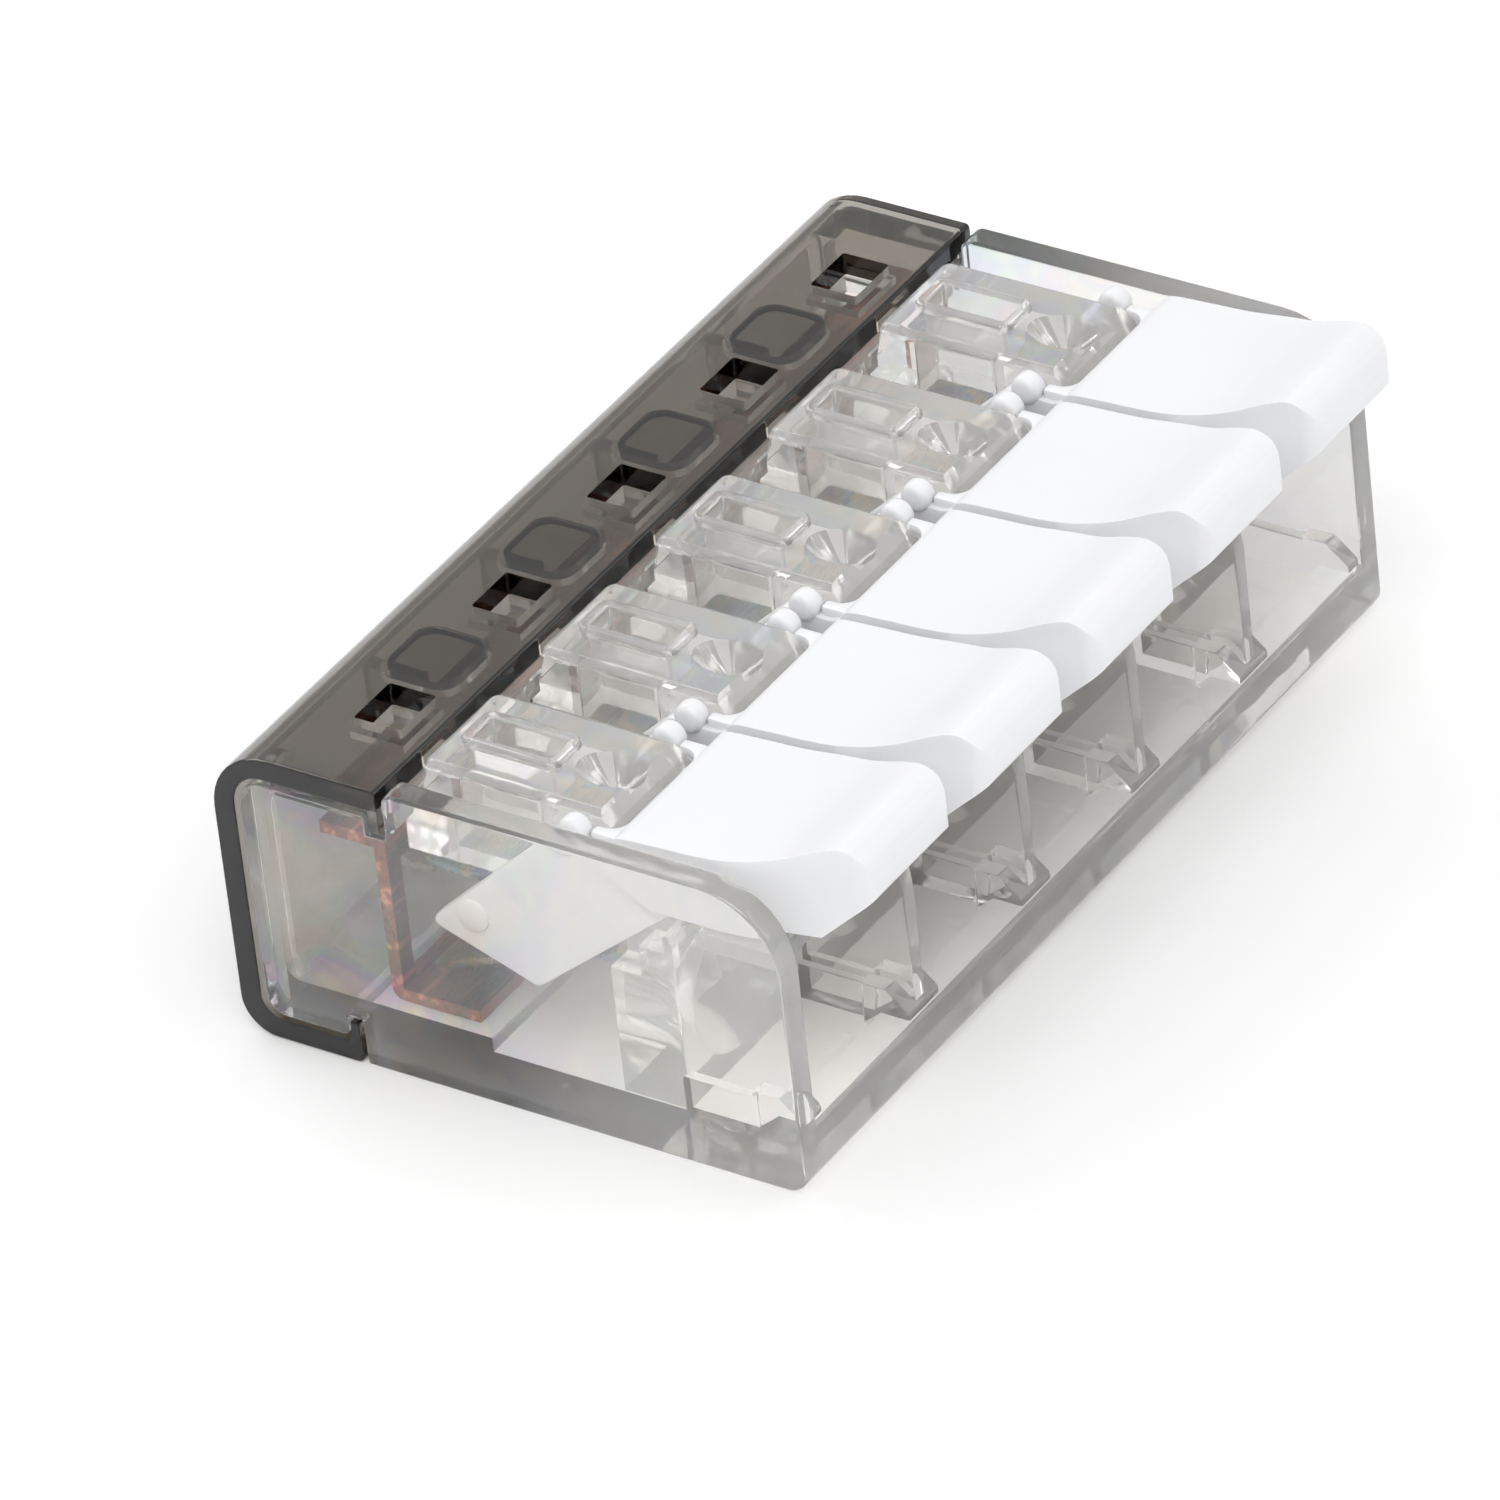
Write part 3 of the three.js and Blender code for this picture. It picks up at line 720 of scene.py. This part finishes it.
# ------------------------------------------------------------------ a lever
def curve_through(points, steps):
    """A smooth line through points, by a uniform Catmull-Rom curve."""
    line = []
    ends = [points[0], *points, points[-1]]
    for p0, p1, p2, p3 in zip(ends, ends[1:], ends[2:], ends[3:]):
        for i in range(steps):
            t = i / steps
            line.append(tuple(
                0.5 * (
                    2 * b + (c - a) * t + (2 * a - 5 * b + 4 * c - d) * t**2
                    + (3 * b - a - 3 * c + d) * t**3
                )
                for a, b, c, d in zip(p0, p1, p2, p3)
            ))
    return [*line, points[-1]]


def lever_pad(rounding):
    top = curve_through([
        (-3.2, 9.0), (-3.5, 9.34), (-4.6, 9.44), (-6.4, 9.56), (-8.2, 9.92), (-9.5, 10.42),
        (-10.2, LIP - 0.03), (-10.75, 10.3), (TIP + 0.03, 9.7), (TIP + 0.02, 9.25),
    ], 5)
    pad = plate("lever_pad", [*top, (-10.9, 9.0), (-9.4, 7.65), (-4.6, 7.65), (-3.2, 8.5)], (-3, 3))
    sweep = plate("lever_plan", [
        (-PAD_HALF, -3.0, 0.3), (-PAD_HALF, -7.2, 6), (-PAD_TIP_HALF, -10.3, 2),
        (-PAD_TIP_HALF, TIP + 0.01, 0.7), (PAD_TIP_HALF, TIP + 0.01, 0.7),
        (PAD_TIP_HALF, -10.3, 2), (PAD_HALF, -7.2, 6), (PAD_HALF, -3.0, 0.3),
    ], (7, 11), plan=True)
    boolean(pad, "INTERSECT", [sweep])
    return soften(pad, rounding, 3, 30)


def lever_arm(rounding):
    arm = plate("lever_arm", [
        (2.8, 5.0, 0.25), (-0.55, 3.8, 0.25), (-5.3, 7.67, 0.5), (-6.2, 7.67), (-6.2, 9.0),
        (-3.3, 8.95, 0.3), (-2.75, 8.74, 0.4), (-1.3, 8.8, 0.2),
    ], (-ARM_HALF, ARM_HALF), steps=5)
    soften(arm, rounding * 0.4)
    bump = soften(round_bar("bump", (0.44, 0.44), (-0.25, -1.92, 8.93), "x", 0.64, 32), 0.2 * MM, 5)
    web = plate("web", [
        (-1.0, -3.6), (0.1, -3.6), (0.1, -2.4), (-0.25, -2.4), (-0.25, -3.12, 0.5), (-1.0, -3.12),
    ], (8.7, 9.02), plan=True)
    return join(arm, [bump, soften(web, rounding * 0.5)])


def build_lever(sizes):
    rounding = sizes.lever_rounding
    pad = lever_pad(rounding)
    right = lever_arm(rounding)
    left = mirrored(right, "left_arm")
    for arm, side in ((right, 1), (left, -1)):
        arm.location.x = side * ARM_MIDDLE * MM
        settle(arm)
    radii = (PIN_RADIUS, PIN_RADIUS)
    pin = round_bar("pin", radii, (PIN_REACH - PIN_LENGTH, *PIVOT), "x", PIN_LENGTH, 28)
    soften(pin, rounding * 0.5)
    other_pin = round_bar("other_pin", radii, (-PIN_REACH, *PIVOT), "x", PIN_LENGTH, 28)
    soften(other_pin, rounding * 0.5)
    return join(pad, [right, left, pin, other_pin])


# ------------------------------------------------------------------ operators
class AddHousing(bpy.types.Operator):
    """Models the clear housing"""

    bl_idname = "connector.add_housing"
    bl_label = "Clear housing"
    bl_options = {"REGISTER", "UNDO"}

    def execute(self, context):
        finish = clear_plastic(context.scene.connector_colours)
        body = build_housing(context.scene.connector_sizes)
        complete(body, "clear_housing", finish, "root", "housing")
        return {"FINISHED"}


class AddCap(bpy.types.Operator):
    """Models the smoke rear cap"""

    bl_idname = "connector.add_cap"
    bl_label = "Rear cap"
    bl_options = {"REGISTER", "UNDO"}

    def execute(self, context):
        finish = smoke_plastic(context.scene.connector_colours)
        shell = build_cap(context.scene.connector_sizes)
        complete(shell, "smoke_cap", finish, "root", "rear_cap")
        return {"FINISHED"}


class AddLevers(bpy.types.Operator):
    """Models one lever and copies it to each pole"""

    bl_idname = "connector.add_levers"
    bl_label = "Levers"
    bl_options = {"REGISTER", "UNDO"}

    def execute(self, context):
        finish = lever_plastic(context.scene.connector_colours)
        levers = spread(build_lever(context.scene.connector_sizes), POLE_X)
        for pole, lever in zip(POLES, levers):
            complete(lever, f"hand_lever_{pole}", finish, f"lever_{pole}", f"lever_{pole}")
        return {"FINISHED"}


class AddBusbar(bpy.types.Operator):
    """Finishes the copper busbar"""

    bl_idname = "connector.add_busbar"
    bl_label = "Busbar"
    bl_options = {"REGISTER", "UNDO"}

    def execute(self, context):
        finish = copper(context.scene.connector_colours)
        bar = refined("busbar", context.scene.connector_sizes.metal_rounding)
        complete(bar, "copper_bar", finish, "root", "busbar")
        return {"FINISHED"}


class AddSprings(bpy.types.Operator):
    """Finishes the clamping springs: a fixed leg and a clamping leg for each pole"""

    bl_idname = "connector.add_springs"
    bl_label = "Springs"
    bl_options = {"REGISTER", "UNDO"}

    def execute(self, context):
        finish = spring_steel(context.scene.connector_colours)
        rounding = context.scene.connector_sizes.metal_rounding
        for pole in POLES:
            fixed, moving = f"spring_{pole}", f"spring_tongue_{pole}"
            complete(refined(fixed, rounding), f"fixed_leg_{pole}", finish, "root", fixed)
            clamping = refined(moving, rounding)
            complete(clamping, f"clamping_leg_{pole}", finish, f"tongue_{pole}", moving)
        return {"FINISHED"}


CAMERA = {"azimuth": -53.8324, "elevation": 34.6257, "roll": -6.6467, "distance": 396.492,
          "shift_right": -1.9641, "shift_up": 1.7365, "lens": 349.59}


class AddStage(bpy.types.Operator):
    """Lays the pale floor and sets the lights and the camera"""

    bl_idname = "connector.add_stage"
    bl_label = "Stage"
    bl_options = {"REGISTER", "UNDO"}

    def execute(self, context):
        scene = context.scene
        self.add_floor(scene)
        self.add_light(scene)
        self.add_camera(scene)
        return {"FINISHED"}

    def add_floor(self, scene):
        bpy.ops.object.select_all(action="DESELECT")
        width = scene.connector_sizes.floor_width
        bpy.ops.mesh.primitive_plane_add(size=width, location=(0, 0, -0.02 * MM))
        floor = settle(bpy.context.object)
        floor.name = "floor"
        floor.data.materials.append(floor_finish(scene.connector_colours))

    def add_light(self, scene):
        world = bpy.data.worlds.new("Studio")
        world.use_nodes = True
        scene.world = world
        tree = world.node_tree
        where = tree.nodes.new("ShaderNodeTexCoord").outputs["Generated"]
        height = tree.nodes.new("ShaderNodeSeparateXYZ")
        tree.links.new(where, height.inputs[0])
        ramp = tree.nodes.new("ShaderNodeValToRGB")
        tree.links.new(height.outputs["Z"], ramp.inputs["Fac"])
        ramp.color_ramp.elements.new(0.3)
        greys = ((0.0, 0.5), (0.3, 0.8), (0.7, 1.0))
        for element, (position, grey) in zip(ramp.color_ramp.elements, greys):
            element.position = position
            element.color = (grey, grey, grey, 1)
        toward = tree.nodes.new("ShaderNodeVectorMath")
        toward.operation = "DOT_PRODUCT"
        toward.inputs[1].default_value = (-0.93, -0.35, -0.1)
        tree.links.new(where, toward.inputs[0])
        shade = tree.nodes.new("ShaderNodeMapRange")
        shade.interpolation_type = "SMOOTHSTEP"
        limits = {"From Min": 0.6, "From Max": 0.95, "To Min": 1.0, "To Max": 0.12}
        for socket, value in limits.items():
            shade.inputs[socket].default_value = value
        tree.links.new(toward.outputs["Value"], shade.inputs["Value"])
        dim = tree.nodes.new("ShaderNodeVectorMath")
        dim.operation = "MULTIPLY"
        tree.links.new(ramp.outputs["Color"], dim.inputs[0])
        tree.links.new(shade.outputs["Result"], dim.inputs[1])
        tree.links.new(dim.outputs["Vector"], tree.nodes["Background"].inputs["Color"])
        tree.nodes["Background"].inputs["Strength"].default_value = 0.86
        for name, place, size, power in (
            ("Key", (-0.35, -0.15, 0.5), 0.4, 1.5),
            ("Fill", (0.3, -0.5, 0.35), 0.4, 0.5),
            ("Back", (0.2, 0.5, 0.4), 0.35, 0.8),
        ):
            lamp = bpy.data.lights.new(name, "AREA")
            lamp.size = size
            lamp.energy = power
            holder = bpy.data.objects.new(name, lamp)
            holder.location = place
            holder.rotation_euler = (-Vector(place)).to_track_quat("-Z", "Y").to_euler()
            scene.collection.objects.link(holder)
        scene.view_settings.view_transform = "Standard"
        scene.cycles.max_bounces = 32
        scene.cycles.transmission_bounces = 32
        scene.cycles.transparent_max_bounces = 32

    def add_camera(self, scene):
        a, e, roll = (math.radians(CAMERA[k]) for k in ("azimuth", "elevation", "roll"))
        back = Vector((math.sin(a) * math.cos(e), -math.cos(a) * math.cos(e), math.sin(e)))
        right = Vector((math.cos(a), math.sin(a), 0))
        up = back.cross(right)
        right, up = (
            math.cos(roll) * right + math.sin(roll) * up,
            -math.sin(roll) * right + math.cos(roll) * up,
        )
        place = back * CAMERA["distance"] + right * CAMERA["shift_right"] + up * CAMERA["shift_up"]
        data = bpy.data.cameras.new("Camera")
        data.lens = CAMERA["lens"]
        data.clip_start, data.clip_end = 0.01, 20
        camera = bpy.data.objects.new("Camera", data)
        turn = Matrix((right, up, back)).transposed().to_4x4()
        camera.matrix_world = Matrix.Translation(place * MM) @ turn
        scene.collection.objects.link(camera)
        scene.camera = camera


class ConnectorPanel(bpy.types.Panel):
    """Lists the connector's settings and pieces"""

    bl_idname = "VIEW3D_PT_connector"
    bl_label = "Lever wire connector"
    bl_space_type = "VIEW_3D"
    bl_region_type = "UI"
    bl_category = "Connector"

    def draw(self, context):
        for settings in (context.scene.connector_sizes, context.scene.connector_colours):
            box = self.layout.box()
            for name in settings.__annotations__:
                box.prop(settings, name)
        for operator in OPERATORS:
            self.layout.operator(operator.bl_idname)


OPERATORS = (AddHousing, AddCap, AddBusbar, AddSprings, AddLevers, AddStage)
CLASSES = (ConnectorSizes, ConnectorColours, *OPERATORS, ConnectorPanel)


def register():
    for cls in CLASSES:
        bpy.utils.register_class(cls)
    bpy.types.Scene.connector_sizes = bpy.props.PointerProperty(type=ConnectorSizes)
    bpy.types.Scene.connector_colours = bpy.props.PointerProperty(type=ConnectorColours)


def unregister():
    del bpy.types.Scene.connector_colours
    del bpy.types.Scene.connector_sizes
    for cls in reversed(CLASSES):
        bpy.utils.unregister_class(cls)


def main():
    register()
    bpy.ops.connector.add_stage()
    bpy.ops.connector.add_housing()
    bpy.ops.connector.add_cap()
    bpy.ops.connector.add_busbar()
    bpy.ops.connector.add_springs()
    bpy.ops.connector.add_levers()


if __name__ == "__main__":
    main()
